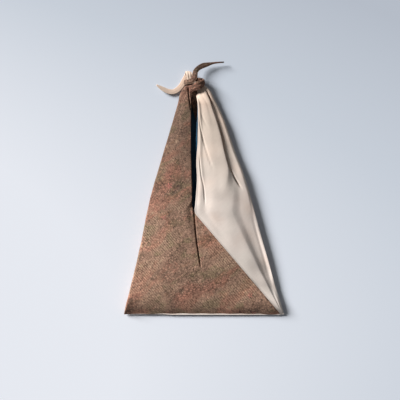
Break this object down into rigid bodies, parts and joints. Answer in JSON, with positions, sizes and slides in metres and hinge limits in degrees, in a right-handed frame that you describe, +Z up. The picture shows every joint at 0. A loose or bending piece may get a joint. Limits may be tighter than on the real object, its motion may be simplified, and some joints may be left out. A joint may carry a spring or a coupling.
{
  "type": "azuma bag",
  "caption": "Soft cloth bag folded from long strips, lying on its back, with a slanting front seam, a lining and its horns tied in a half knot.",
  "frame": {"origin": "on the table, under the middle of the bag's box", "axes": "+Y from the bottom edge to the knot, +X to the right as the front is seen, +Z up out of the front"},
  "size_m": [0.43, 0.6778, 0.0381],
  "materials": {
    "patterned_cloth": "matte",
    "plain_cloth": "matte",
    "lining_cloth": "soft sheen"
  },
  "bodies": {
    "root": {"patterned_panel": "patterned_cloth", "plain_panel": "plain_cloth", "lining": "lining_cloth"}
  },
  "joints": []
}
